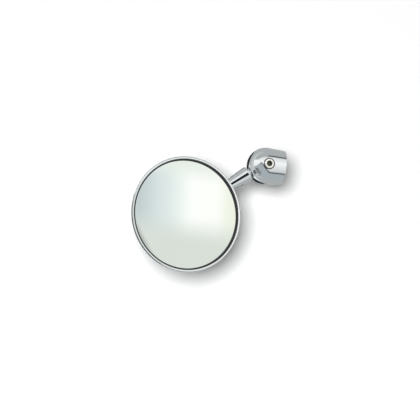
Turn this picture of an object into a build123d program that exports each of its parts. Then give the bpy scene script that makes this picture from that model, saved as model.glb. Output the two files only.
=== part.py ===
from build123d import *
import math
import os

os.makedirs("parts", exist_ok=True)

# Bar clamp: a sleeve with a domed end, closed at the dome
bar_diameter = 22.2
bar_clearance = 0.05
bore_depth = 19.0
bore_lead_in = 0.5
sleeve_length = 14.8
dome_radius = 14.9
mouth_radius = 14.15
mouth_round = 0.8

# Grub screw that pinches the bar
clamp_screw_radius = 4.0
clamp_screw_proud = 0.25
clamp_screw_chamfer = 0.4
clamp_tip_gap = 0.1
clamp_hex = 4.0
clamp_hex_depth = 2.6
spot_face_radius = 4.6
spot_face_depth = 0.8
thread_clearance = 0.08

# Stem: a cone that turns about its own axis in the dome
stem_angle = 37.5
stem_offset = 3.05
stem_start = 12.75
stem_length = 28.1
stem_big_radius = 6.4
stem_small_radius = 3.6
stem_big_round = 1.5
stem_small_round = 0.8
spigot_radius = 3.5
spigot_end = 6.0
spigot_chamfer = 0.5
running_clearance = 0.05
end_clearance = 0.3

# Grub screw that brakes the spigot in its groove
lock_position = 8.8
lock_screw_radius = 2.0
lock_screw_length = 4.0
lock_screw_chamfer = 0.4
lock_hex = 2.0
lock_hex_depth = 1.6
groove_depth = 0.6
groove_width = 4.4

# Ball stud screwed into the thin end of the stem
ball_reach = 51.9
ball_radius = 6.0
neck_radius = 2.8
shank_radius = 2.5
shank_length = 9.0
shank_chamfer = 0.5

# Socket in the back of the mirror head, measured from the ball towards the clamp
liner_thickness = 0.8
liner_low_angle = 54.0
liner_high_angle = 84.0
seat_edge_angle = 45.0
socket_bore_radius = 7.0
nut_thread_radius = 8.0
nut_start = 1.3
nut_end = 7.6
nut_mouth_radius = 6.3
nut_chamfer = 0.4
nut_slot_width = 1.6
nut_slot_depth = 1.2
nut_seat = 1.0
socket_end = 8.2
boss_radius = 10.0
boss_round_centre = -6.0
boss_edge_round = 1.0
boss_blend = 2.5
cup_start = -8.0
cup_end = -2.2
cup_clearance = 0.1
spring_thickness = 0.7
spring_rise = 0.5
spring_outer_radius = 6.5
spring_inner_radius = 3.3
seat_gap = 0.02

# Mirror head, depths measured back from the front of the rim
mirror_turn = 9.3
ball_inset = 16.0
ball_depth = 18.0
rim_radius = 46.0
rim_depth = 5.9
rim_taper = 16.0
rim_metal = 0.7
rim_front_round = 0.9
rim_back_round = 0.8
lip_width = 1.9
lip_round = 0.35
back_lip_width = 1.0
seal_overlap = 1.25
seal_wall = 0.9
seal_round = 0.3
seal_back_width = 2.5
seal_gap = 0.05
glass_curve = 1000.0
glass_edge_depth = 2.0
glass_thickness = 1.8
pad_thickness = 1.0
pad_inset = 3.8
flange_front = 4.3
shell_depth = 20.0
shell_wall = 1.8

# Positions and directions that follow from the sizes
bore_radius = bar_diameter / 2 + bar_clearance
dome_x = -sleeve_length
clamp_frame = Plane(origin=(dome_x, 0, 0), x_dir=(1, 0, 0), z_dir=(0, -1, 0))
clamp_screw_length = dome_radius + clamp_screw_proud - bore_radius - clamp_tip_gap
stem_dir = Vector(-math.cos(math.radians(stem_angle)), 0, -math.sin(math.radians(stem_angle)))
pivot = Vector(dome_x - stem_offset, 0, 0)
stem_axis = Axis(pivot, stem_dir)
stem_end = stem_start + stem_length
stem_section = Plane(origin=pivot, x_dir=stem_dir, z_dir=stem_dir.cross(Vector(0, 1, 0)))
stem_frame = Plane(origin=pivot, x_dir=(0, 1, 0), z_dir=stem_dir)
lock_point = pivot + stem_dir * lock_position
lock_screw_tip = spigot_radius - groove_depth + running_clearance
lock_frame = Plane(origin=lock_point, x_dir=(1, 0, 0), z_dir=(0, 1, 0))

ball_centre = pivot + stem_dir * ball_reach
glass_normal = Vector(math.sin(math.radians(mirror_turn)), -math.cos(math.radians(mirror_turn)), 0)
to_clamp = stem_dir * -1
in_plane = (to_clamp - glass_normal * to_clamp.dot(glass_normal)).normalized()
rim_centre = ball_centre - in_plane * (rim_radius - ball_inset) + glass_normal * ball_depth
head_axis = Axis(rim_centre, glass_normal)
head_section = Plane(origin=rim_centre, x_dir=in_plane, z_dir=in_plane.cross(glass_normal))
socket_axis = Axis(ball_centre, to_clamp)
socket_section = Plane(origin=ball_centre, x_dir=to_clamp, z_dir=to_clamp.cross(Vector(0, 1, 0)))
socket_frame = Plane(origin=ball_centre, x_dir=(0, 1, 0), z_dir=to_clamp)

liner_inner_radius = ball_radius + running_clearance
liner_outer_radius = liner_inner_radius + liner_thickness
seat_radius = liner_outer_radius + running_clearance
socket_floor = cup_start - 2 * (spring_thickness + spring_rise) - 2 * seat_gap

flank_slope = math.tan(math.radians(rim_taper))
flank_run = 1 / math.cos(math.radians(rim_taper))


# Radius of the rim's flank, which leans in towards the back, at a depth and moved in by a wall
def flank_radius(depth, wall):
    flank_front = rim_radius - rim_front_round + rim_front_round * flank_run
    return flank_front + (rim_front_round - depth) * flank_slope - wall * flank_run


seal_inset = rim_metal + seal_gap
rim_back_radius = flank_radius(rim_depth - rim_back_round, rim_back_round)
lip_radius = rim_radius - lip_width
seal_inner_radius = lip_radius - seal_overlap
glass_radius = flank_radius(glass_edge_depth + glass_thickness, seal_inset) - seal_wall
glass_sag = glass_curve - math.sqrt(glass_curve**2 - glass_radius**2)
glass_apex = glass_edge_depth - glass_sag
glass_back_curve = glass_curve - glass_thickness
glass_back_apex = glass_apex + glass_thickness
glass_back_edge = glass_back_apex + glass_back_curve - math.sqrt(glass_back_curve**2 - glass_radius**2)
seal_outer_radius = flank_radius(flange_front, seal_inset)
seal_back_radius = seal_outer_radius - seal_back_width
flange_back = rim_depth - rim_metal
flange_radius = flank_radius(flange_back, seal_inset)
back_lip_radius = rim_back_radius - back_lip_width
bowl_radius = back_lip_radius - 2 * seal_gap
bowl_sag = shell_depth - flange_back
bowl_curve = (bowl_radius**2 + bowl_sag**2) / (2 * bowl_sag)
bowl_centre = shell_depth - bowl_curve
bowl_inner_curve = bowl_curve - shell_wall
bowl_inner_radius = math.sqrt(bowl_inner_curve**2 - (flange_front - bowl_centre) ** 2)

# Sleeve and dome: the sleeve's flank runs tangent into the dome
mouth_reach = math.hypot(sleeve_length, mouth_radius)
flank_angle = math.degrees(math.atan2(mouth_radius, sleeve_length) + math.acos(dome_radius / mouth_reach))
with BuildPart() as bar_clamp:
    with BuildSketch(Plane.XY):
        with BuildLine():
            dome_arc = CenterArc((dome_x, 0), dome_radius, flank_angle, 180 - flank_angle)
            Polyline(dome_arc @ 0, (0, mouth_radius), (0, 0), dome_arc @ 1)
        make_face()
    revolve(axis=Axis.X)
    fillet(edges().filter_by(GeomType.CIRCLE).group_by(Axis.X)[-1], radius=mouth_round)
    with BuildSketch(Plane.YZ):
        Circle(bore_radius)
    extrude(amount=-bore_depth, mode=Mode.SUBTRACT)
    mouth_face = faces().filter_by(Plane.YZ).sort_by(Axis.X)[-1]
    chamfer(mouth_face.edges().sort_by(SortBy.RADIUS)[0], length=bore_lead_in)
    # radial hole of the grub screw with a shallow spot face, on the rider's side
    with BuildSketch(clamp_frame):
        Circle(clamp_screw_radius + thread_clearance)
    extrude(amount=2 * dome_radius, mode=Mode.SUBTRACT)
    with BuildSketch(clamp_frame.offset(dome_radius - spot_face_depth)):
        Circle(spot_face_radius)
    extrude(amount=dome_radius, mode=Mode.SUBTRACT)
    # slanted blind hole of the stem's spigot
    with BuildSketch(stem_frame.offset(spigot_end - end_clearance)):
        Circle(spigot_radius + running_clearance)
    extrude(amount=dome_radius, mode=Mode.SUBTRACT)
    # cross hole of the lock screw, on the far side
    with BuildSketch(lock_frame):
        Circle(lock_screw_radius + thread_clearance)
    extrude(amount=dome_radius, mode=Mode.SUBTRACT)
bar_clamp.part.label = "bar_clamp"
export_step(bar_clamp.part, "parts/bar_clamp.step")

clamp_top = clamp_frame.offset(dome_radius + clamp_screw_proud)
with BuildPart() as clamp_screw:
    with BuildSketch(clamp_top):
        Circle(clamp_screw_radius)
    extrude(amount=-clamp_screw_length)
    chamfer(edges().filter_by(GeomType.CIRCLE), length=clamp_screw_chamfer)
    with BuildSketch(clamp_top):
        RegularPolygon(clamp_hex / 2, 6, major_radius=False)
    extrude(amount=-clamp_hex_depth, mode=Mode.SUBTRACT)
clamp_screw.part.label = "clamp_screw"
export_step(clamp_screw.part, "parts/clamp_screw.step")

lock_top = lock_frame.offset(lock_screw_tip + lock_screw_length)
with BuildPart() as lock_screw:
    with BuildSketch(lock_top):
        Circle(lock_screw_radius)
    extrude(amount=-lock_screw_length)
    chamfer(edges().filter_by(GeomType.CIRCLE), length=lock_screw_chamfer)
    with BuildSketch(lock_top):
        RegularPolygon(lock_hex / 2, 6, major_radius=False)
    extrude(amount=-lock_hex_depth, mode=Mode.SUBTRACT)
lock_screw.part.label = "lock_screw"
export_step(lock_screw.part, "parts/lock_screw.step")

# Stem: grooved spigot, rounded shoulder, cone, and a tapped hole in the thin end
groove_radius = spigot_radius - groove_depth
groove_start = lock_position - groove_width / 2
groove_stop = lock_position + groove_width / 2
with BuildPart() as stem:
    with BuildSketch(stem_section):
        with BuildLine():
            Polyline(
                (spigot_end, 0),
                (spigot_end, spigot_radius),
                (groove_start, spigot_radius),
                (groove_start, groove_radius),
                (groove_stop, groove_radius),
                (groove_stop, spigot_radius),
                (stem_start, spigot_radius),
                (stem_start, stem_big_radius),
                (stem_end, stem_small_radius),
                (stem_end, 0),
                close=True,
            )
        make_face()
    revolve(axis=stem_axis)
    rims = edges().filter_by(GeomType.CIRCLE).sort_by(stem_axis)
    fillet(rims.filter_by(lambda e: abs(e.radius - stem_big_radius) < seat_gap), radius=stem_big_round)
    fillet(edges().filter_by(GeomType.CIRCLE).sort_by(stem_axis)[-1], radius=stem_small_round)
    chamfer(edges().filter_by(GeomType.CIRCLE).sort_by(stem_axis)[0], length=spigot_chamfer)
    with BuildSketch(stem_frame.offset(stem_end)):
        Circle(shank_radius + running_clearance)
    extrude(amount=-shank_length - end_clearance, mode=Mode.SUBTRACT)
stem.part.label = "stem"
export_step(stem.part, "parts/stem.step")

neck_foot = math.sqrt(ball_radius**2 - neck_radius**2)
neck_length = ball_reach - stem_end
with BuildPart() as ball_stud:
    with BuildSketch(socket_section):
        with BuildLine():
            ball_arc = CenterArc(
                (0, 0),
                ball_radius,
                math.degrees(math.atan2(neck_radius, neck_foot)),
                180 - math.degrees(math.atan2(neck_radius, neck_foot)),
            )
            Polyline(
                ball_arc @ 0,
                (neck_length - seat_gap, neck_radius),
                (neck_length - seat_gap, shank_radius),
                (neck_length + shank_length, shank_radius),
                (neck_length + shank_length, 0),
                ball_arc @ 1,
            )
        make_face()
    revolve(axis=socket_axis)
    chamfer(edges().filter_by(GeomType.CIRCLE).sort_by(socket_axis)[-1], length=shank_chamfer)
ball_stud.part.label = "ball_stud"
export_step(ball_stud.part, "parts/ball_stud.step")

# Nylon liner: a zone of a spherical shell round the ball's front half
liner_sweep = liner_high_angle - liner_low_angle
with BuildPart() as ball_liner:
    with BuildSketch(socket_section):
        with BuildLine():
            liner_inside = CenterArc((0, 0), liner_inner_radius, liner_low_angle, liner_sweep)
            liner_outside = CenterArc((0, 0), liner_outer_radius, liner_low_angle, liner_sweep)
            Line(liner_inside @ 0, liner_outside @ 0)
            Line(liner_inside @ 1, liner_outside @ 1)
        make_face()
    revolve(axis=socket_axis)
ball_liner.part.label = "ball_liner"
export_step(ball_liner.part, "parts/ball_liner.step")

# Slotted ring nut with a spherical seat for the liner
nut_radius = nut_thread_radius - thread_clearance
seat_start = math.degrees(math.acos(nut_start / seat_radius))
with BuildPart() as socket_nut:
    with BuildSketch(socket_section):
        with BuildLine():
            seat_arc = CenterArc((0, 0), seat_radius, seat_edge_angle, seat_start - seat_edge_angle)
            Polyline(
                seat_arc @ 0,
                (nut_end, nut_mouth_radius),
                (nut_end, nut_radius),
                (nut_start, nut_radius),
                seat_arc @ 1,
            )
        make_face()
    revolve(axis=socket_axis)
    outer_rims = edges().filter_by(GeomType.CIRCLE).filter_by(lambda e: abs(e.radius - nut_radius) < seat_gap)
    chamfer(outer_rims, length=nut_chamfer)
    with BuildSketch(socket_frame.offset(nut_end)):
        Rectangle(4 * nut_radius, nut_slot_width)
    extrude(amount=-nut_slot_depth, mode=Mode.SUBTRACT)
socket_nut.part.label = "socket_nut"
export_step(socket_nut.part, "parts/socket_nut.step")

# Nylon cup behind the ball, pushed forward by two disc springs
cup_radius = socket_bore_radius - cup_clearance
cup_rim = math.degrees(math.acos(cup_end / liner_inner_radius))
with BuildPart() as seat_cup:
    with BuildSketch(socket_section):
        with BuildLine():
            dish = CenterArc((0, 0), liner_inner_radius, cup_rim, 180 - cup_rim)
            Polyline(dish @ 0, (cup_end, cup_radius), (cup_start, cup_radius), (cup_start, 0), dish @ 1)
        make_face()
    revolve(axis=socket_axis)
seat_cup.part.label = "seat_cup"
export_step(seat_cup.part, "parts/seat_cup.step")

spring_top = cup_start - seat_gap
spring_middle = spring_top - spring_thickness - spring_rise
spring_bottom = spring_middle - spring_thickness - spring_rise - seat_gap
with BuildPart() as disc_springs:
    with BuildSketch(socket_section):
        with BuildLine():
            Polyline(
                (spring_top, spring_inner_radius),
                (spring_top - spring_rise, spring_outer_radius),
                (spring_middle, spring_outer_radius),
                (spring_middle + spring_rise, spring_inner_radius),
                close=True,
            )
        make_face()
    revolve(axis=socket_axis)
    with BuildSketch(socket_section):
        with BuildLine():
            Polyline(
                (spring_bottom, spring_inner_radius),
                (spring_bottom + spring_rise, spring_outer_radius),
                (spring_middle - seat_gap, spring_outer_radius),
                (spring_middle - seat_gap - spring_rise, spring_inner_radius),
                close=True,
            )
        make_face()
    revolve(axis=socket_axis)
disc_springs.part.label = "disc_springs"
export_step(disc_springs.part, "parts/disc_springs.step")

# Rim rolled round the edges of the seal and the shell's flange
with BuildPart() as bezel_ring:
    with BuildSketch(head_section):
        with BuildLine():
            lip_arc = CenterArc((lip_radius + lip_round, -lip_round), lip_round, 90, 90)
            front_arc = CenterArc(
                (rim_radius - rim_front_round, -rim_front_round), rim_front_round, -rim_taper, 90 + rim_taper
            )
            back_arc = CenterArc(
                (rim_back_radius, -rim_depth + rim_back_round), rim_back_round, 270, 90 - rim_taper
            )
            Line(lip_arc @ 0, front_arc @ 1)
            Line(front_arc @ 0, back_arc @ 1)
            Polyline(
                back_arc @ 0,
                (back_lip_radius, -rim_depth),
                (back_lip_radius, -flange_back),
                (flank_radius(flange_back, rim_metal), -flange_back),
                (flank_radius(rim_metal, rim_metal), -rim_metal),
                (lip_radius, -rim_metal),
                lip_arc @ 1,
            )
        make_face()
    revolve(axis=head_axis)
bezel_ring.part.label = "bezel_ring"
export_step(bezel_ring.part, "parts/bezel_ring.step")

# Rubber channel round the glass
lip_bottom = glass_apex + glass_curve - math.sqrt(glass_curve**2 - seal_inner_radius**2) - seal_gap
back_top = glass_back_edge + seal_gap
with BuildPart() as glass_seal:
    with BuildSketch(head_section):
        with BuildLine():
            Polyline(
                (seal_inner_radius, -seal_inset),
                (flank_radius(seal_inset, seal_inset), -seal_inset),
                (seal_outer_radius, -flange_front),
                (seal_back_radius, -flange_front),
                (seal_back_radius, -back_top),
                (glass_radius + seal_gap, -back_top),
                (glass_radius + seal_gap, -lip_bottom),
                (seal_inner_radius, -lip_bottom),
                close=True,
            )
        make_face()
    revolve(axis=head_axis)
    front_rim = edges().filter_by(GeomType.CIRCLE).group_by(head_axis)[-1].sort_by(SortBy.RADIUS)[0]
    fillet(front_rim, radius=seal_round)
glass_seal.part.label = "glass_seal"
export_step(glass_seal.part, "parts/glass_seal.step")

# Convex glass, silvered on its back
with BuildPart() as mirror_glass:
    with BuildSketch(head_section):
        with BuildLine():
            front_face = RadiusArc((0, -glass_apex), (glass_radius, -glass_edge_depth), glass_curve)
            back_face = RadiusArc((0, -glass_back_apex), (glass_radius, -glass_back_edge), glass_back_curve)
            Line(front_face @ 1, back_face @ 1)
            Line(front_face @ 0, back_face @ 0)
        make_face()
    revolve(axis=head_axis)
mirror_glass.part.label = "mirror_glass"
export_step(mirror_glass.part, "parts/mirror_glass.step")

# Foam sheet on the back of the glass
pad_radius = glass_radius - pad_inset
pad_front_curve = glass_back_curve - seat_gap
pad_back_curve = pad_front_curve - pad_thickness
pad_front_apex = glass_back_apex + seat_gap
pad_back_apex = pad_front_apex + pad_thickness
pad_front_edge = pad_front_apex + pad_front_curve - math.sqrt(pad_front_curve**2 - pad_radius**2)
pad_back_edge = pad_back_apex + pad_back_curve - math.sqrt(pad_back_curve**2 - pad_radius**2)
with BuildPart() as glass_pad:
    with BuildSketch(head_section):
        with BuildLine():
            pad_front = RadiusArc((0, -pad_front_apex), (pad_radius, -pad_front_edge), pad_front_curve)
            pad_back = RadiusArc((0, -pad_back_apex), (pad_radius, -pad_back_edge), pad_back_curve)
            Line(pad_front @ 1, pad_back @ 1)
            Line(pad_front @ 0, pad_back @ 0)
        make_face()
    revolve(axis=head_axis)
glass_pad.part.label = "glass_pad"
export_step(glass_pad.part, "parts/glass_pad.step")

# Socket boss that leans out of the bowl: a capsule cut square at the clamp's end
with BuildSketch(socket_section) as boss_profile:
    with BuildLine():
        boss_cap = CenterArc((boss_round_centre, 0), boss_radius, 90, 90)
        boss_corner = CenterArc(
            (socket_end - boss_edge_round, boss_radius - boss_edge_round), boss_edge_round, 0, 90
        )
        Line(boss_cap @ 0, boss_corner @ 1)
        Polyline(boss_corner @ 0, (socket_end, 0), boss_cap @ 1)
    make_face()

# Hollow behind the glass: the bowl's inside less the part of the boss that stands in it
bowl_edge_angle = math.degrees(math.atan2(bowl_centre - flange_back, bowl_radius))
hollow_edge_angle = math.degrees(math.atan2(bowl_centre - flange_front, bowl_inner_radius))
with BuildPart() as bowl_hollow:
    with BuildSketch(head_section):
        with BuildLine():
            inside = CenterArc((0, -bowl_centre), bowl_inner_curve, -90, 90 + hollow_edge_angle)
            Polyline(inside @ 1, (0, -flange_front), inside @ 0)
        make_face()
    revolve(axis=head_axis)
    revolve(boss_profile.sketch, axis=socket_axis, mode=Mode.SUBTRACT)

# Cast bowl with a flange, the boss blended into its back, and the stepped socket bored in the boss
with BuildPart() as mirror_shell:
    with BuildSketch(head_section):
        with BuildLine():
            outside = CenterArc((0, -bowl_centre), bowl_curve, -90, 90 + bowl_edge_angle)
            Polyline(
                outside @ 1,
                (flange_radius, -flange_back),
                (flange_radius, -flange_front),
                (0, -flange_front),
                outside @ 0,
            )
        make_face()
    revolve(axis=head_axis)
    revolve(boss_profile.sketch, axis=socket_axis)
    seam = edges(Select.NEW)
    round_start = socket_end - 2 * boss_edge_round
    flank = seam.filter_by(lambda e: socket_frame.to_local_coords(e.center()).Z < round_start)
    fillet(flank, radius=boss_blend)
    add(bowl_hollow.part, mode=Mode.SUBTRACT)
    with BuildSketch(socket_frame.offset(socket_floor)):
        Circle(socket_bore_radius)
    extrude(amount=2 * socket_end - socket_floor, mode=Mode.SUBTRACT)
    with BuildSketch(socket_frame.offset(nut_seat)):
        Circle(nut_thread_radius)
    extrude(amount=2 * socket_end, mode=Mode.SUBTRACT)
mirror_shell.part.label = "mirror_shell"
export_step(mirror_shell.part, "parts/mirror_shell.step")
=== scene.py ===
import math

import bpy
import numpy as np
from mathutils import Matrix, Vector


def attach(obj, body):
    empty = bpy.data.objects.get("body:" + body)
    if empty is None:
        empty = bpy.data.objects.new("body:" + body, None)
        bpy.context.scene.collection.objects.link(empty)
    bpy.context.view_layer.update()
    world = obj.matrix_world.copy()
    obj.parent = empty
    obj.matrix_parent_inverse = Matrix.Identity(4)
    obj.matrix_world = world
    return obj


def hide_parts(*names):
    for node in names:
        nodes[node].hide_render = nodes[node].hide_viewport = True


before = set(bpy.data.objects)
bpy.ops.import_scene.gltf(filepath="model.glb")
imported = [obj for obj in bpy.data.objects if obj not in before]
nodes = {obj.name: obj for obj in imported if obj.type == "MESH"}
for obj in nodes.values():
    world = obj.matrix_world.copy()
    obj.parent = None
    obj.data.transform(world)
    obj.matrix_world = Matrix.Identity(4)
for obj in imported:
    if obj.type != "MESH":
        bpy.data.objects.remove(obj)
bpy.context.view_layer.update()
print("frame loaded:", len(nodes), "nodes")


# node helpers, shared by the finishes and the studio
def feed(tree, socket, value):
    # a number, a colour, or the output of another node
    if isinstance(value, (int, float)):
        socket.default_value = value
    elif isinstance(value, tuple):
        socket.default_value = (*value, 1.0)
    else:
        tree.links.new(value, socket)


def mathStep(tree, operation, first, second=None, clamp=False):
    node = tree.nodes.new("ShaderNodeMath")
    node.operation = operation
    node.use_clamp = clamp
    feed(tree, node.inputs[0], first)
    if second is not None:
        feed(tree, node.inputs[1], second)
    return node.outputs[0]


def times(tree, first, second):
    return mathStep(tree, "MULTIPLY", first, second)


def ramp(tree, value, low, high, lowOut=0.0, highOut=1.0, shape="SMOOTHSTEP"):
    node = tree.nodes.new("ShaderNodeMapRange")
    node.interpolation_type = shape
    tree.links.new(value, node.inputs["Value"])
    node.inputs["From Min"].default_value = low
    node.inputs["From Max"].default_value = high
    node.inputs["To Min"].default_value = lowOut
    node.inputs["To Max"].default_value = highOut
    return node.outputs["Result"]


def window(tree, value, low, high, soft):
    # one between low and high, falling to nothing over the soft width on both sides
    rise = ramp(tree, value, low - soft, low + soft)
    fall = ramp(tree, value, high - soft, high + soft, 1.0, 0.0)
    return times(tree, rise, fall)


def mixColour(tree, factor, first, second, blend="MIX"):
    node = tree.nodes.new("ShaderNodeMix")
    node.data_type = "RGBA"
    node.blend_type = blend
    feed(tree, node.inputs["Factor"], factor)
    feed(tree, node.inputs[6], first)
    feed(tree, node.inputs[7], second)
    return node.outputs[2]


def splitXyz(tree, vector):
    node = tree.nodes.new("ShaderNodeSeparateXYZ")
    tree.links.new(vector, node.inputs[0])
    return node.outputs


def farFrom(tree, first, second, centre):
    # distance of the point (first, second) from the centre
    offOne = mathStep(tree, "SUBTRACT", first, centre[0])
    offTwo = mathStep(tree, "SUBTRACT", second, centre[1])
    squares = mathStep(tree, "ADD", times(tree, offOne, offOne), times(tree, offTwo, offTwo))
    return mathStep(tree, "SQRT", squares)


def noise(tree, coords, scale, detail, roughness=0.5):
    node = tree.nodes.new("ShaderNodeTexNoise")
    node.inputs["Scale"].default_value = scale
    node.inputs["Detail"].default_value = detail
    node.inputs["Roughness"].default_value = roughness
    tree.links.new(coords, node.inputs["Vector"])
    return node.outputs["Fac"]


def bump(tree, height, distance):
    node = tree.nodes.new("ShaderNodeBump")
    node.inputs["Strength"].default_value = 1.0
    node.inputs["Distance"].default_value = distance
    tree.links.new(height, node.inputs["Height"])
    return node.outputs["Normal"]


def emission(tree, colour):
    node = tree.nodes.new("ShaderNodeEmission")
    feed(tree, node.inputs["Color"], colour)
    return node.outputs[0]


def mixShaders(tree, factor, first, second):
    node = tree.nodes.new("ShaderNodeMixShader")
    for socket, value in zip(node.inputs, (factor, first, second)):
        tree.links.new(value, socket)
    return node.outputs[0]


def bareMaterial(name):
    material = bpy.data.materials.new(name)
    material.use_nodes = True
    material.node_tree.nodes.clear()
    return material, material.node_tree


def showSurface(tree, shader):
    output = tree.nodes.new("ShaderNodeOutputMaterial")
    tree.links.new(shader, output.inputs["Surface"])


def newFinish(name):
    material, tree = bareMaterial(name)
    shader = tree.nodes.new("ShaderNodeBsdfPrincipled")
    coords = tree.nodes.new("ShaderNodeTexCoord").outputs["Object"]
    return material, tree, shader, coords


# every metal finish is a two-tone cloud, a roughness cloud and a fine waviness of the plating
metalCloud = {"toneDetail": 4.0, "toneSpan": (0.35, 0.65), "hazeDetail": 5.0, "hazeGrit": 0.6,
              "hazeSpan": (0.3, 0.7), "waveDetail": 2.0}


def metalFinish(name, look):
    material, tree, shader, coords = newFinish(name)
    shader.inputs["Metallic"].default_value = 1.0
    cloud = noise(tree, coords, look["cloudScale"], metalCloud["toneDetail"])
    tone = mixColour(tree, ramp(tree, cloud, *metalCloud["toneSpan"]), look["tone"], look["toneWorn"])
    haze = noise(tree, coords, look["hazeScale"], metalCloud["hazeDetail"], metalCloud["hazeGrit"])
    gloss = ramp(tree, haze, *metalCloud["hazeSpan"], look["smoothest"], look["roughest"])
    if "screwGapShade" in look:
        # painted shade in the gap round the screw: darker and rougher within the screw's radius of its axis, on the
        # screw's side of the clamp
        screwGapShade = look["screwGapShade"]
        x, y, z = splitXyz(tree, coords)
        reach = farFrom(tree, x, z, screwGapShade["centre"])
        paintedGapShade = times(tree, ramp(tree, reach, screwGapShade["reach"], screwGapShade["reach"] - screwGapShade["soft"]),
                     ramp(tree, y, *screwGapShade["depth"]))
        tone = mixColour(tree, paintedGapShade, tone, screwGapShade["tone"])
        gloss = mathStep(tree, "ADD", gloss, times(tree, paintedGapShade, screwGapShade["rougher"]))
    tree.links.new(tone, shader.inputs["Base Color"])
    tree.links.new(gloss, shader.inputs["Roughness"])
    wave = noise(tree, coords, look["waveScale"], metalCloud["waveDetail"])
    tree.links.new(bump(tree, wave, look["waveHeight"]), shader.inputs["Normal"])
    showSurface(tree, shader.outputs["BSDF"])
    return material


chromeLook = {"tone": (0.870, 0.885, 0.892), "toneWorn": (0.845, 0.860, 0.868), "cloudScale": 45.0,
              "hazeScale": 160.0, "smoothest": 0.030, "roughest": 0.060,
              "waveScale": 140.0, "waveHeight": 4e-6}
# the clamp's chrome, with painted shade, nearly black, in the gap round the screw
clampLook = {**chromeLook, "screwGapShade": {"centre": (-0.0148, 0.0), "reach": 0.00463, "soft": 0.00005,
                                      "depth": (-0.009, -0.010), "rougher": 0.5,
                                      "tone": (0.050, 0.048, 0.042)}}
screwLook = {"tone": (0.900, 0.890, 0.840), "toneWorn": (0.820, 0.810, 0.750), "cloudScale": 220.0,
             "hazeScale": 900.0, "smoothest": 0.10, "roughest": 0.18,
             "waveScale": 1500.0, "waveHeight": 1e-6}
# inside of the hex sockets: dark brown, partly grime and partly painted shade
socketLook = {"tone": (0.20, 0.190, 0.140), "toneWorn": (0.13, 0.122, 0.088), "cloudScale": 500.0,
              "hazeScale": 900.0, "smoothest": 0.40, "roughest": 0.60,
              "waveScale": 2500.0, "waveHeight": 4e-6}
steelLook = {"tone": (0.640, 0.645, 0.650), "toneWorn": (0.560, 0.560, 0.560), "cloudScale": 160.0,
             "hazeScale": 700.0, "smoothest": 0.16, "roughest": 0.30,
             "waveScale": 900.0, "waveHeight": 2e-6}
mirrorLook = {"tone": (0.918, 0.930, 0.924), "toneWorn": (0.908, 0.922, 0.914), "cloudScale": 30.0,
              "hazeScale": 60.0, "smoothest": 0.010, "roughest": 0.022,
              "waveScale": 40.0, "waveHeight": 1e-6}

# rubber, nylon and foam: a mottled colour, a roughness cloud and a grain
softCloud = {"mottleDetail": 5.0, "mottleSpan": (0.3, 0.7), "grainDetail": 3.0}


def softFinish(name, look):
    material, tree, shader, coords = newFinish(name)
    mottle = noise(tree, coords, look["mottleScale"], softCloud["mottleDetail"])
    tone = mixColour(tree, ramp(tree, mottle, *softCloud["mottleSpan"]), look["tone"], look["tonePale"])
    gloss = ramp(tree, mottle, *softCloud["mottleSpan"], look["smoothest"], look["roughest"])
    grain = noise(tree, coords, look["grainScale"], softCloud["grainDetail"])
    tree.links.new(tone, shader.inputs["Base Color"])
    tree.links.new(gloss, shader.inputs["Roughness"])
    tree.links.new(bump(tree, grain, look["grainHeight"]), shader.inputs["Normal"])
    shader.inputs["Specular IOR Level"].default_value = look["gloss"]
    showSurface(tree, shader.outputs["BSDF"])
    return material


rubberLook = {"tone": (0.012, 0.012, 0.013), "tonePale": (0.024, 0.024, 0.025), "mottleScale": 300.0,
              "smoothest": 0.42, "roughest": 0.62, "grainScale": 2500.0, "grainHeight": 1.5e-5, "gloss": 0.4}
nylonLook = {"tone": (0.70, 0.69, 0.64), "tonePale": (0.78, 0.77, 0.73), "mottleScale": 250.0,
             "smoothest": 0.38, "roughest": 0.52, "grainScale": 1800.0, "grainHeight": 1e-5, "gloss": 0.5}
foamLook = {"tone": (0.030, 0.030, 0.032), "tonePale": (0.070, 0.070, 0.072), "mottleScale": 1200.0,
            "smoothest": 0.80, "roughest": 0.95, "grainScale": 1600.0, "grainHeight": 2e-4, "gloss": 0.3}

chromePlate = metalFinish("chromePlate", chromeLook)
clampChrome = metalFinish("clampChrome", clampLook)
screwSteel = metalFinish("screwSteel", screwLook)
socketShadeAndGrime = metalFinish("socketShadeAndGrime", socketLook)
groundSteel = metalFinish("groundSteel", steelLook)
silvering = metalFinish("silvering", mirrorLook)
sealRubber = softFinish("sealRubber", rubberLook)
nylon = softFinish("nylon", nylonLook)
foam = softFinish("foam", foamLook)

finishOf = {"bar_clamp": clampChrome, "stem": chromePlate, "bezel_ring": chromePlate,
            "mirror_shell": chromePlate, "clamp_screw": screwSteel, "lock_screw": screwSteel,
            "ball_stud": groundSteel, "socket_nut": groundSteel, "disc_springs": groundSteel,
            "ball_liner": nylon, "seat_cup": nylon, "glass_seal": sealRubber,
            "mirror_glass": silvering, "glass_pad": foam}
for nodeName, finish in finishOf.items():
    nodes[nodeName].data.materials.clear()
    nodes[nodeName].data.materials.append(finish)
print("finishes on", len(finishOf), "nodes")


# new pieces: rings of points carried along an axis, all as whole arrays
def roundAxis(way, hint, around):
    # ring = side * cos(turn) + other * sin(turn), with side and other square to the axis
    axis = np.array(way, float) / np.linalg.norm(way)
    side = np.array(hint, float) - axis * np.dot(hint, axis)
    side /= np.linalg.norm(side)
    turn = np.linspace(0.0, 2.0 * math.pi, around, endpoint=False)
    ring = np.cos(turn)[:, None] * side + np.sin(turn)[:, None] * np.cross(axis, side)
    return axis, turn, ring


def carriedRings(origin, axis, ring, along, reach):
    # point = origin + axis * along + ring * reach, with one row of points for each place along the axis
    return np.array(origin) + along[:, None, None] * axis + reach[..., None] * ring


def ringFaces(rows, around):
    # quads between neighbouring rings, each closed on itself
    index = np.arange(rows * around).reshape(rows, around)
    turned = np.roll(index, -1, axis=1)
    return np.stack([index[:-1], turned[:-1], turned[1:], index[1:]], -1).reshape(-1, 4)


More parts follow.
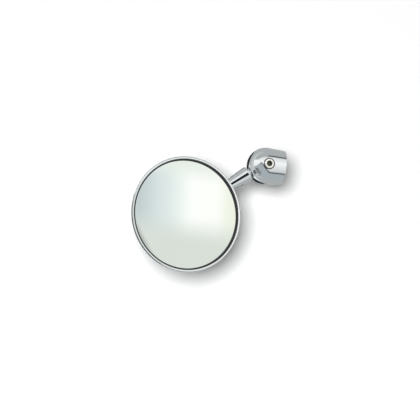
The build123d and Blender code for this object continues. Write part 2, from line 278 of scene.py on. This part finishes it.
def closedFaces(rows, around):
    # quads turned outwards, then a fan from the first and from the last ring to its own pole
    first = np.arange(around)
    last = first + (rows - 1) * around
    firstPole, lastPole = np.full(around, rows * around), np.full(around, rows * around + 1)
    firstFan = np.stack([first, np.roll(first, -1), firstPole], -1)
    lastFan = np.stack([np.roll(last, -1), last, lastPole], -1)
    return ringFaces(rows, around)[:, ::-1].tolist() + firstFan.tolist() + lastFan.tolist()


def newPiece(name, points, faces, finishes, body, node, sharpAngle, faceFinish=None):
    mesh = bpy.data.meshes.new(name)
    mesh.from_pydata(points.tolist(), [], faces)
    mesh.shade_smooth()
    mesh.set_sharp_from_angle(angle=math.radians(sharpAngle))
    for finish in finishes:
        mesh.materials.append(finish)
    if faceFinish is not None:
        mesh.polygons.foreach_set("material_index", faceFinish)
    piece = bpy.data.objects.new(name, mesh)
    bpy.context.scene.collection.objects.link(piece)
    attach(piece, body)
    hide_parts(node)
    return piece


# places that the part's own sizes give: turns in degrees, the rest in metres
layout = {"headTurn": 9.3, "stemTurn": 37.5, "stemPivot": (-0.01785, 0.0, 0.0), "ballAway": 0.0519,
          "rimAside": 0.030, "rimForward": 0.018}
headTurn, stemTurn = math.radians(layout["headTurn"]), math.radians(layout["stemTurn"])
headFront = np.array((math.sin(headTurn), -math.cos(headTurn), 0.0))   # way the glass faces
stemWay = np.array((-math.cos(stemTurn), 0.0, -math.sin(stemTurn)))
ballCentre = np.array(layout["stemPivot"]) + stemWay * layout["ballAway"]
headSide = -stemWay + headFront * np.dot(stemWay, headFront)   # across the glass, towards the clamp
headSide /= np.linalg.norm(headSide)
rimCentre = ballCentre - headSide * layout["rimAside"] + headFront * layout["rimForward"]

# the glass: a shallow dome on the front and the back, with its edge ground off at both corners
glass = {"radius": 0.04352, "curve": 1.0, "edgeDepth": 0.0020, "thickness": 0.0018, "ground": 0.00025,
         "rings": 40, "around": 192, "sharp": 32.0}


def buildGlass():
    # depth of a dome = its apex + its curve - square root of (curve squared - radius squared)
    curve, thickness = glass["curve"], glass["thickness"]
    apex = glass["edgeDepth"] - (curve - math.sqrt(curve ** 2 - glass["radius"] ** 2))
    backCurve = curve - thickness
    radius = np.linspace(0.0, 1.0, glass["rings"] + 1)[1:] * (glass["radius"] - glass["ground"])
    front = apex + curve - np.sqrt(curve ** 2 - radius ** 2)
    rear = apex + thickness + backCurve - np.sqrt(backCurve ** 2 - radius ** 2)
    edge = np.array([front[-1] + glass["ground"], rear[-1] - glass["ground"]])
    depth = np.concatenate([front, edge, rear[::-1]])
    reach = np.concatenate([radius, np.full(2, glass["radius"]), radius[::-1]])
    axis, turn, ring = roundAxis(headFront, headSide, glass["around"])
    rings = carriedRings(rimCentre, axis, ring, -depth, reach[:, None])
    poles = rimCentre + np.array([[-apex], [-apex - thickness]]) * headFront
    points = np.concatenate([rings.reshape(-1, 3), poles])
    faces = closedFaces(len(depth), glass["around"])
    newPiece("mirrorGlass", points, faces, [silvering], "mirror_head", "mirror_glass", glass["sharp"])


buildGlass()

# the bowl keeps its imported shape. Its facets meet in a point in the middle of the back and shade wrongly there,
# so a joined copy stands in for it, with the normals at that point laid along the bowl's axis
bowl = {"joinWithin": 1e-7, "pointWithin": 2e-5, "sharp": 180.0}


def buildBowl():
    source = nodes["mirror_shell"].data
    points = np.empty(3 * len(source.vertices), np.float32)
    corners = np.empty(len(source.loops), np.int32)
    normals = np.empty(3 * len(source.loops), np.float32)
    source.vertices.foreach_get("co", points)
    source.loops.foreach_get("vertex_index", corners)
    source.corner_normals.foreach_get("vector", normals)
    points, normals = points.reshape(-1, 3).astype(float), normals.reshape(-1, 3).astype(float)
    # points that share a place become one, and facets with no area are dropped
    places = np.round(points / bowl["joinWithin"]).astype(np.int64)
    _, first, joined = np.unique(places, axis=0, return_index=True, return_inverse=True)
    faces = joined.reshape(-1)[corners].reshape(-1, 3)
    whole = (faces[:, 0] != faces[:, 1]) & (faces[:, 1] != faces[:, 2]) & (faces[:, 2] != faces[:, 0])
    points, faces, normals = points[first], faces[whole], normals.reshape(-1, 3, 3)[whole]
    # off the axis = what is left of the way from the rim's middle once its part along the axis is taken out
    fromRim = points - rimCentre
    offAxis = np.linalg.norm(fromRim - (fromRim @ headFront)[:, None] * headFront, axis=1)
    atPoint = offAxis[faces] < bowl["pointWithin"]
    normals[atPoint] = np.sign(normals[atPoint] @ headFront)[:, None] * headFront
    piece = newPiece("mirrorBowl", points, faces.tolist(), [chromePlate], "mirror_head", "mirror_shell",
                     bowl["sharp"])
    piece.data.normals_split_custom_set(normals.reshape(-1, 3).tolist())


buildBowl()

# the grub screw in the clamp: hex socket with a drilled floor, chamfered top, threaded flank, cup point
clampScrew = {"centre": (-0.0148, 0.0, 0.0), "way": (0.0, -1.0, 0.0), "top": 0.01515, "length": 0.0039,
              "radius": 0.0040, "chamfer": 0.0004, "hex": 0.0040, "hexDepth": 0.0026, "hexTurn": 12.0,
              "pitch": 0.00125, "threadDepth": 0.00045, "around": 96, "threadRows": 28}
# the small one on the far side of the dome, which brakes the stem
lockScrew = {"centre": (-0.0248315, 0.0, -0.0053571), "way": (0.0, 1.0, 0.0), "top": 0.00695, "length": 0.0040,
             "radius": 0.0020, "chamfer": 0.0004, "hex": 0.0020, "hexDepth": 0.0016, "hexTurn": 20.0,
             "pitch": 0.0007, "threadDepth": 0.00025, "around": 72, "threadRows": 40}
# what both are cut to: shares of the hex or of the radius, and pairs of how far down and how far out
screwCut = {"drillShare": 0.25, "drillEdge": 0.0004, "drillTip": 0.0006, "floorShare": 0.86, "cornerShare": 0.985,
            "cornerRise": 0.00006, "flare": ((0.00030, 0.0), (0.00008, 0.00016), (0.0, 0.00030)),
            "brim": ((0.0, -0.00006), (0.00005, 0.00003)), "cupShares": (0.55, 0.2), "cupEdge": 0.0006,
            "cupTip": 0.0008, "fadePitches": 0.5, "sharp": 28.0}


def buildScrew(name, node, look):
    axis, turn, ring = roundAxis(look["way"], (1.0, 0.0, 0.0), look["around"])
    even = np.ones(look["around"])
    top, foot, full = look["top"], look["top"] - look["length"], look["radius"]
    floor, brim = top - look["hexDepth"], full - look["chamfer"]
    # flat sides of a hex: half the width over the cosine of the angle from the nearest side's middle
    fromSide = (turn + math.radians(look["hexTurn"]) + math.pi / 6) % (math.pi / 3) - math.pi / 6
    hexReach = look["hex"] / 2 / np.cos(fromSide)
    socketAlong = np.array([floor - screwCut["drillEdge"], floor, floor, floor + screwCut["cornerRise"]])
    socketReach = np.stack([screwCut["drillShare"] * hexReach, screwCut["floorShare"] * look["hex"] / 2 * even,
                            screwCut["cornerShare"] * hexReach, hexReach])
    # the socket flares at its mouth, and the top runs out to a small brim
    flareDown, flareOut = np.array(screwCut["flare"]).T
    brimDown, brimOut = np.array(screwCut["brim"]).T
    # thread: a triangle wave down the flank that winds once round for each pitch, fading at both ends
    along = np.linspace(top - look["chamfer"], foot + look["chamfer"], look["threadRows"])
    phase = (along[:, None] / look["pitch"] + turn / (2.0 * math.pi)) % 1.0
    fromEnd = np.minimum(along - along[-1], along[0] - along)
    fade = np.clip(fromEnd / (screwCut["fadePitches"] * look["pitch"]), 0.0, 1.0)[:, None]
    flank = full - look["threadDepth"] * (1.0 - np.abs(2.0 * phase - 1.0)) * fade
    cupAlong = np.array([foot, foot, foot + screwCut["cupEdge"]])
    cupReach = np.array([brim, *(share * full for share in screwCut["cupShares"])])[:, None] * even
    # from the drilled floor up the socket, over the top, down the flank and into the cup
    depth = np.concatenate([socketAlong, top - flareDown, top - brimDown, along, cupAlong])
    reach = np.concatenate([socketReach, hexReach + flareOut[:, None], (brim + brimOut)[:, None] * even, flank,
                            cupReach])
    rings = carriedRings(look["centre"], axis, ring, depth, reach)
    tips = np.array([[floor - screwCut["drillTip"]], [foot + screwCut["cupTip"]]])
    points = np.concatenate([rings.reshape(-1, 3), np.array(look["centre"]) + tips * axis])
    rows, around = len(depth), look["around"]
    faces = closedFaces(rows, around)
    # painted shade and grime, darkening the socket's inside: on the bands from the floor into the flare, and on the
    # fan over the drilled hole
    shadeAndGrimeBands = len(socketAlong) + 1
    inSocket = np.zeros(len(faces), np.int32)
    inSocket[:shadeAndGrimeBands * around] = 1
    inSocket[(rows - 1) * around:rows * around] = 1
    newPiece(name, points, faces, [screwSteel, socketShadeAndGrime], "clamp", node, screwCut["sharp"],
             inSocket)


buildScrew("clampScrew", "clamp_screw", clampScrew)
buildScrew("lockScrew", "lock_screw", lockScrew)
print("new pieces made")

# the studio: a pale sheet close behind the part, a pale floor below, one soft lamp to the left and a little low
studio = {"sheetAcross": -0.06, "sheetDepth": 0.060, "sheetHalf": 1.6, "floorHeight": -0.55, "floorHalf": 0.45,
          "steps": 8, "paperRoughness": 0.9, "paperGloss": 0.1,
          "paper": (0.880, 0.880, 0.880), "paperFar": (0.972, 0.972, 0.972), "paperSpan": (-0.24, 0.14),
          "floorTone": (0.66, 0.70, 0.72), "floorFar": (0.64, 0.68, 0.70), "floorSpan": (-0.5, 0.5),
          "lampAim": (-0.05, 0.0, -0.03), "lampAway": 2.2, "lampSize": 0.66, "lampPower": 56.5,
          "lampAzimuth": -16.4, "lampElevation": -4.8, "fill": 0.05}


# paper a little darker on the lamp's side, so that the sheet comes out even, and clear when seen from its back
def paperFinish(name, tone, toneFar, span):
    material, tree, shader, coords = newFinish(name)
    across = ramp(tree, splitXyz(tree, coords)[0], *span, shape="LINEAR")
    tree.links.new(mixColour(tree, across, tone, toneFar), shader.inputs["Base Color"])
    shader.inputs["Roughness"].default_value = studio["paperRoughness"]
    shader.inputs["Specular IOR Level"].default_value = studio["paperGloss"]
    fromBack = tree.nodes.new("ShaderNodeNewGeometry").outputs["Backfacing"]
    clear = tree.nodes.new("ShaderNodeBsdfTransparent").outputs[0]
    showSurface(tree, mixShaders(tree, fromBack, shader.outputs["BSDF"], clear))
    return material


def stageMesh(name, points, faces, material):
    mesh = bpy.data.meshes.new(name)
    mesh.from_pydata(points.reshape(-1, 3).tolist(), [], faces.tolist())
    mesh.materials.append(material)
    thing = bpy.data.objects.new(name, mesh)
    bpy.context.scene.collection.objects.link(thing)
    return thing


def gridFaces(rows, columns):
    index = np.arange(rows * columns).reshape(rows, columns)
    return np.stack([index[:-1, :-1], index[1:, :-1], index[1:, 1:], index[:-1, 1:]], -1).reshape(-1, 4)


def flatSheet(name, centre, sideOne, sideTwo, material):
    # a flat grid: centre + u * sideOne + v * sideTwo, u and v from minus one to one
    steps = studio["steps"]
    u, v = np.meshgrid(np.linspace(-1, 1, steps), np.linspace(-1, 1, steps), indexing="ij")
    points = np.array(centre) + u[..., None] * np.array(sideOne) + v[..., None] * np.array(sideTwo)
    return stageMesh(name, points, gridFaces(steps, steps), material)


def wayFrom(azimuth, elevation):
    # azimuth from the front to the right, elevation upwards, both in degrees
    az, el = math.radians(azimuth), math.radians(elevation)
    return Vector((math.sin(az) * math.cos(el), -math.cos(az) * math.cos(el), math.sin(el)))


sheetPaper = paperFinish("sheetPaper", studio["paper"], studio["paperFar"], studio["paperSpan"])
floorPaper = paperFinish("floorPaper", studio["floorTone"], studio["floorFar"], studio["floorSpan"])
half, wide = studio["sheetHalf"], studio["floorHalf"]
sheetCentre = (studio["sheetAcross"], studio["sheetDepth"], 0.0)
backSheet = flatSheet("backSheet", sheetCentre, (half, 0, 0), (0, 0, half), sheetPaper)
floorSheet = flatSheet("floorSheet", (0, 0, studio["floorHeight"]), (wide, 0, 0), (0, wide, 0), floorPaper)
floorSheet.visible_glossy = False

lampData = bpy.data.lights.new("softLamp", "AREA")
lampData.shape = "DISK"
lampData.size = studio["lampSize"]
lampData.energy = studio["lampPower"]
lamp = bpy.data.objects.new("softLamp", lampData)
lampWay = wayFrom(studio["lampAzimuth"], studio["lampElevation"])
lamp.location = Vector(studio["lampAim"]) + lampWay * studio["lampAway"]
lamp.rotation_euler = lampWay.to_track_quat("Z", "Y").to_euler()
lamp.visible_glossy = False
bpy.context.scene.collection.objects.link(lamp)
print("studio set")

# a light tent round the part: only reflections see it. A bright screen in front, grey above, below and behind.
# Azimuths and elevations are in degrees. A window is from, to and how soft
tent = {"centre": (-0.050, 0.0, -0.030), "radius": 9.0, "backWall": 0.055, "steps": 48,
        "grey": (0.455, 0.475, 0.480), "greyLow": (0.425, 0.470, 0.490), "greySpan": (-40.0, 30.0),
        # elevation of the screen's lower and upper edge at some azimuths, and how each edge fades
        "screen": (0.985, 1.0, 0.995), "screenWindow": (-130.0, 66.0, 9.0),
        "lowEdge": ((-180, -36), (-112, -32), (-92, -22), (-77, -12), (-53, 0), (-38, 15), (-27, 4), (-17, -11),
                    (6, -30), (26, -40), (66, -44), (180, -44)),
        "highEdge": ((-180, 22), (-112, 25), (-78, 28), (-63, 30), (-52, 37), (-40, 46), (-25, 51), (20, 52),
                     (66, 52), (180, 52)),
        "lowFade": (-1.0, 4.0), "highFade": (-4.0, 2.0),
        # how the screen dims away from its brightest level: elevations, then strengths
        "lowFall": (-40.0, 15.0, 0.66, 1.06), "highFall": (15.0, 52.0, 1.0, 0.74),
        # dark seams outside the edges: window of elevation from the edge, window of azimuth
        "seam": (0.045, 0.05, 0.055), "lowSeam": ((-7.5, -2.0, 2.0), (-42.0, 70.0, 8.0)),
        "highSeam": ((2.0, 8.5, 2.0), (8.0, 70.0, 18.0)),
        # dark places low on the left: azimuth and elevation, where they start and end, and how strong
        "blot": (0.15, 0.16, 0.17),
        "blots": (((-64.0, -27.0), 4.0, 12.0, 0.8), ((-58.0, -48.0), 6.0, 20.0, 0.7),
                  ((-112.0, -38.0), 5.0, 14.0, 1.0)),
        # what the glass looks at, left to right by azimuth, then its lower and upper part by elevation
        "glassRow": ((23.0, (0.600, 0.670, 0.680)), (25.4, (0.74, 0.82, 0.83)), (27.0, (0.82, 0.895, 0.885)),
                     (28.3, (0.93, 0.985, 0.950)), (29.8, (1.07, 1.08, 1.06)), (33.2, (1.08, 1.08, 1.04)),
                     (34.8, (0.955, 0.99, 0.88)), (36.5, (0.90, 0.94, 0.81))),
        "glassLow": (0.75, 0.80, 0.745), "glassLowSpan": (8.4, 4.6),
        "glassTop": (0.87, 0.93, 0.86), "glassTopSpan": (11.8, 14.6),
        "glassAcross": (22.2, 40.0, 0.6), "glassUp": (-2.0, 18.0, 3.0),
        # the back wall: paler to the left, a pale place behind the bowl, and dark ones above and below the dome
        "wallLeft": (0.62, 0.64, 0.64), "wallSpan": (-0.09, -0.30), "wallFade": (0.002, 0.001),
        "backPale": (-0.080, -0.050), "backPaleReach": (0.030, 0.085),
        "shade": (0.020, 0.025, 0.035),
        "backDark": (((-0.058, 0.022), 0.026, 0.040), ((-0.028, -0.042), 0.024, 0.035))}


def edgeCurve(tree, azimuth, stops):
    # elevation over azimuth as a broken line, kept in the node's own range of nought to one
    node = tree.nodes.new("ShaderNodeFloatCurve")
    curve = node.mapping.curves[0]
    for number, (turn, height) in enumerate(stops):
        spot = ((turn + 180.0) / 360.0, (height + 90.0) / 180.0)
        if number < 2:
            curve.points[number].location = spot
        else:
            curve.points.new(*spot)
    for point in curve.points:
        point.handle_type = "VECTOR"
    node.mapping.update()
    tree.links.new(ramp(tree, azimuth, -180.0, 180.0, shape="LINEAR"), node.inputs["Value"])
    return ramp(tree, node.outputs["Value"], 0.0, 1.0, -90.0, 90.0, "LINEAR")


def colourRow(tree, azimuth, stops):
    low, high = stops[0][0], stops[-1][0]
    node = tree.nodes.new("ShaderNodeValToRGB")
    node.color_ramp.interpolation = "LINEAR"
    elements = node.color_ramp.elements
    for number, (turn, tone) in enumerate(stops):
        spot = (turn - low) / (high - low)
        element = elements[number] if number < 2 else elements.new(spot)
        element.position = spot
        element.color = (*tone, 1.0)
    tree.links.new(ramp(tree, azimuth, low, high, shape="LINEAR"), node.inputs["Fac"])
    return node.outputs["Color"]


def tentAngles(tree, spot):
    # azimuth and elevation of a spot on the tent, seen from its centre
    away = tree.nodes.new("ShaderNodeVectorMath")
    away.operation = "SUBTRACT"
    away.inputs[1].default_value = tent["centre"]
    tree.links.new(spot, away.inputs[0])
    way = tree.nodes.new("ShaderNodeVectorMath")
    way.operation = "NORMALIZE"
    tree.links.new(away.outputs[0], way.inputs[0])
    wayX, wayY, wayZ = splitXyz(tree, way.outputs[0])
    azimuth = mathStep(tree, "ARCTAN2", wayX, times(tree, wayY, -1.0))
    elevation = mathStep(tree, "ARCSINE", wayZ)
    return times(tree, azimuth, math.degrees(1.0)), times(tree, elevation, math.degrees(1.0))


def tentFinish():
    material, tree = bareMaterial("tentCloth")
    spot = tree.nodes.new("ShaderNodeTexCoord").outputs["Object"]
    x, y, z = splitXyz(tree, spot)
    azimuth, elevation = tentAngles(tree, spot)
    colour = mixColour(tree, ramp(tree, elevation, *tent["greySpan"]), tent["greyLow"], tent["grey"])

    fromLow = mathStep(tree, "SUBTRACT", elevation, edgeCurve(tree, azimuth, tent["lowEdge"]))
    fromHigh = mathStep(tree, "SUBTRACT", elevation, edgeCurve(tree, azimuth, tent["highEdge"]))
    upAndDown = times(tree, ramp(tree, fromLow, *tent["lowFade"]), ramp(tree, fromHigh, *tent["highFade"], 1.0, 0.0))
    screen = times(tree, upAndDown, window(tree, azimuth, *tent["screenWindow"]))
    # brightest a little above level, falling off slowly to the lower edge and quicker to the upper one
    fall = times(tree, ramp(tree, elevation, *tent["lowFall"], "LINEAR"),
                 ramp(tree, elevation, *tent["highFall"], "LINEAR"))
    colour = mixColour(tree, screen, colour, mixColour(tree, 1.0, tent["screen"], fall, "MULTIPLY"))

    # dark seams along the lower and the upper edge, and dark blots in the lower left
    for fromEdge, (upWindow, acrossWindow) in ((fromLow, tent["lowSeam"]), (fromHigh, tent["highSeam"])):
        seam = times(tree, window(tree, fromEdge, *upWindow), window(tree, azimuth, *acrossWindow))
        colour = mixColour(tree, seam, colour, tent["seam"])
    for centre, near, far, depth in tent["blots"]:
        blot = ramp(tree, farFrom(tree, azimuth, elevation, centre), near, far, depth, 0.0)
        colour = mixColour(tree, blot, colour, tent["blot"])

    # the glass looks at a cool left, a white middle, a warm right and a green-grey lower part
    row = colourRow(tree, azimuth, tent["glassRow"])
    row = mixColour(tree, ramp(tree, elevation, *tent["glassLowSpan"]), row, tent["glassLow"])
    row = mixColour(tree, ramp(tree, elevation, *tent["glassTopSpan"]), row, tent["glassTop"])
    nearGlass = times(tree, window(tree, azimuth, *tent["glassAcross"]), window(tree, elevation, *tent["glassUp"]))
    colour = mixColour(tree, nearGlass, colour, row)

    # the wall close behind: grey, paler to the left and behind the bowl, dark above and below the dome
    wall = mixColour(tree, ramp(tree, x, *tent["wallSpan"]), tent["grey"], tent["wallLeft"])
    pale = ramp(tree, farFrom(tree, x, z, tent["backPale"]), *tent["backPaleReach"], 1.0, 0.0)
    wall = mixColour(tree, pale, wall, tent["screen"])
    for centre, near, far in tent["backDark"]:
        dark = ramp(tree, farFrom(tree, x, z, centre), near, far, 1.0, 0.0)
        wall = mixColour(tree, dark, wall, tent["shade"])
    wallStart, wallFull = (tent["backWall"] - step for step in tent["wallFade"])
    colour = mixColour(tree, ramp(tree, y, wallStart, wallFull), colour, wall)
    showSurface(tree, emission(tree, colour))
    return material


def onlyReflected(thing):
    thing.visible_camera = thing.visible_diffuse = thing.visible_shadow = False


def buildTent():
    # a ball about the centre, cut flat where it meets the back wall
    steps = tent["steps"]
    lean = np.linspace(0.0, math.pi, steps)[:, None]
    turn = np.linspace(0.0, 2.0 * math.pi, 2 * steps, endpoint=False)[None, :]
    ball = np.stack([np.sin(lean) * np.cos(turn), -np.cos(lean) * np.ones_like(turn),
                     np.sin(lean) * np.sin(turn)], -1)
    points = np.array(tent["centre"]) + tent["radius"] * ball
    points[..., 1] = np.minimum(points[..., 1], tent["backWall"])
    cloth = stageMesh("lightTent", points, ringFaces(steps, 2 * steps), tentFinish())
    onlyReflected(cloth)


# a narrow dark flag in front, leaning to the left: the stem shows it as its long dark stripe
flag = {"depth": -0.40, "low": (0.071, -0.145), "high": (-0.118, 0.098), "half": 0.049, "soft": 0.012,
        "tone": (0.016, 0.021, 0.032)}


def buildFlag():
    low, high = np.array(flag["low"]), np.array(flag["high"])
    half, soft = flag["half"], flag["soft"]
    reach = np.linalg.norm(high - low) / 2
    middleX, middleZ = (low + high) / 2
    leanX, leanZ = (high - low) / np.linalg.norm(high - low)
    material, tree = bareMaterial("flagCloth")
    x, y, z = splitXyz(tree, tree.nodes.new("ShaderNodeTexCoord").outputs["Object"])
    offX, offZ = mathStep(tree, "SUBTRACT", x, middleX), mathStep(tree, "SUBTRACT", z, middleZ)
    along = mathStep(tree, "ADD", times(tree, offX, leanX), times(tree, offZ, leanZ))
    aside = mathStep(tree, "SUBTRACT", times(tree, offX, leanZ), times(tree, offZ, leanX))
    # solid in the middle, clear at its frayed edges
    solid = times(tree, window(tree, along, -reach, reach, soft), window(tree, aside, -half, half, soft))
    clear = tree.nodes.new("ShaderNodeBsdfTransparent").outputs[0]
    showSurface(tree, mixShaders(tree, solid, clear, emission(tree, flag["tone"])))
    longWay = (reach + soft) * np.array((leanX, 0.0, leanZ))
    wideWay = (half + soft) * np.array((leanZ, 0.0, -leanX))
    strip = flatSheet("darkFlag", (middleX, flag["depth"], middleZ), longWay, wideWay, material)
    onlyReflected(strip)


# a curved dark card just outside the rim, low on the left: the rim shows it as its dark outer line
rimCard = {"start": 106.0, "end": 198.0, "reach": 0.062, "half": 0.019, "steps": 40, "wideSteps": 5,
           "tone": (0.012, 0.014, 0.017)}


def buildCard():
    # point = rim's middle + reach * (level * cos(turn) - upright * sin(turn)) + headFront * half * across * bulge,
    # where across goes from minus one to one and bulge is the root of a half wave from end to end
    steps, wideSteps = rimCard["steps"], rimCard["wideSteps"]
    turn = np.radians(np.linspace(rimCard["start"], rimCard["end"], steps))[:, None]
    across = np.linspace(-1.0, 1.0, wideSteps)[None, :]
    bulge = np.sqrt(np.clip(np.sin(np.linspace(0.0, math.pi, steps)), 0.0, 1.0))[:, None]
    uprightWay = np.array((0.0, 0.0, 1.0))
    levelWay = np.cross(uprightWay, headFront)
    spoke = np.cos(turn)[..., None] * levelWay - np.sin(turn)[..., None] * uprightWay
    points = rimCentre + rimCard["reach"] * spoke + (rimCard["half"] * across * bulge)[..., None] * headFront
    material, tree = bareMaterial("cardPaper")
    showSurface(tree, emission(tree, rimCard["tone"]))
    card = stageMesh("rimCard", points, gridFaces(steps, wideSteps), material)
    onlyReflected(card)


# a white room that the camera, metal and glass see, and that lights the rest only faintly
def buildWorld():
    world = bpy.data.worlds.new("studioRoom")
    bpy.context.scene.world = world
    world.use_nodes = True
    tree = world.node_tree
    tree.nodes.clear()
    lightPath = tree.nodes.new("ShaderNodeLightPath")
    seen = mathStep(tree, "ADD", lightPath.outputs["Is Camera Ray"], lightPath.outputs["Is Glossy Ray"])
    seen = mathStep(tree, "ADD", seen, lightPath.outputs["Is Transmission Ray"], True)
    background = tree.nodes.new("ShaderNodeBackground")
    background.inputs["Color"].default_value = (1.0, 1.0, 1.0, 1.0)
    tree.links.new(ramp(tree, seen, 0.0, 1.0, studio["fill"], 1.0, "LINEAR"), background.inputs["Strength"])
    output = tree.nodes.new("ShaderNodeOutputWorld")
    tree.links.new(background.outputs[0], output.inputs["Surface"])


buildTent()
buildFlag()
buildCard()
buildWorld()
print("tent and room set")

# the camera looks up a little at the part from its left, rolled slightly
shot = {"azimuth": -11.63, "elevation": -8.46, "roll": 5.31, "target": (-0.05336, 0.01686, -0.03869),
        "away": 1.5, "fieldWidth": 0.3413, "sensor": 36.0}
shotAz, shotRoll = math.radians(shot["azimuth"]), math.radians(shot["roll"])
back = wayFrom(shot["azimuth"], shot["elevation"])
level = Vector((math.cos(shotAz), math.sin(shotAz), 0.0))
upright = back.cross(level)
right = level * math.cos(shotRoll) + upright * math.sin(shotRoll)
up = upright * math.cos(shotRoll) - level * math.sin(shotRoll)
place = Vector(shot["target"]) + back * shot["away"]
cameraData = bpy.data.cameras.new("photoCamera")
cameraData.sensor_width = shot["sensor"]
cameraData.lens = shot["sensor"] * shot["away"] / shot["fieldWidth"]
camera = bpy.data.objects.new("photoCamera", cameraData)
camera.matrix_world = Matrix(((right.x, up.x, back.x, place.x), (right.y, up.y, back.y, place.y),
                              (right.z, up.z, back.z, place.z), (0, 0, 0, 1)))
bpy.context.scene.collection.objects.link(camera)
bpy.context.scene.camera = camera
bpy.context.scene.view_settings.view_transform = "Standard"
print("camera placed")
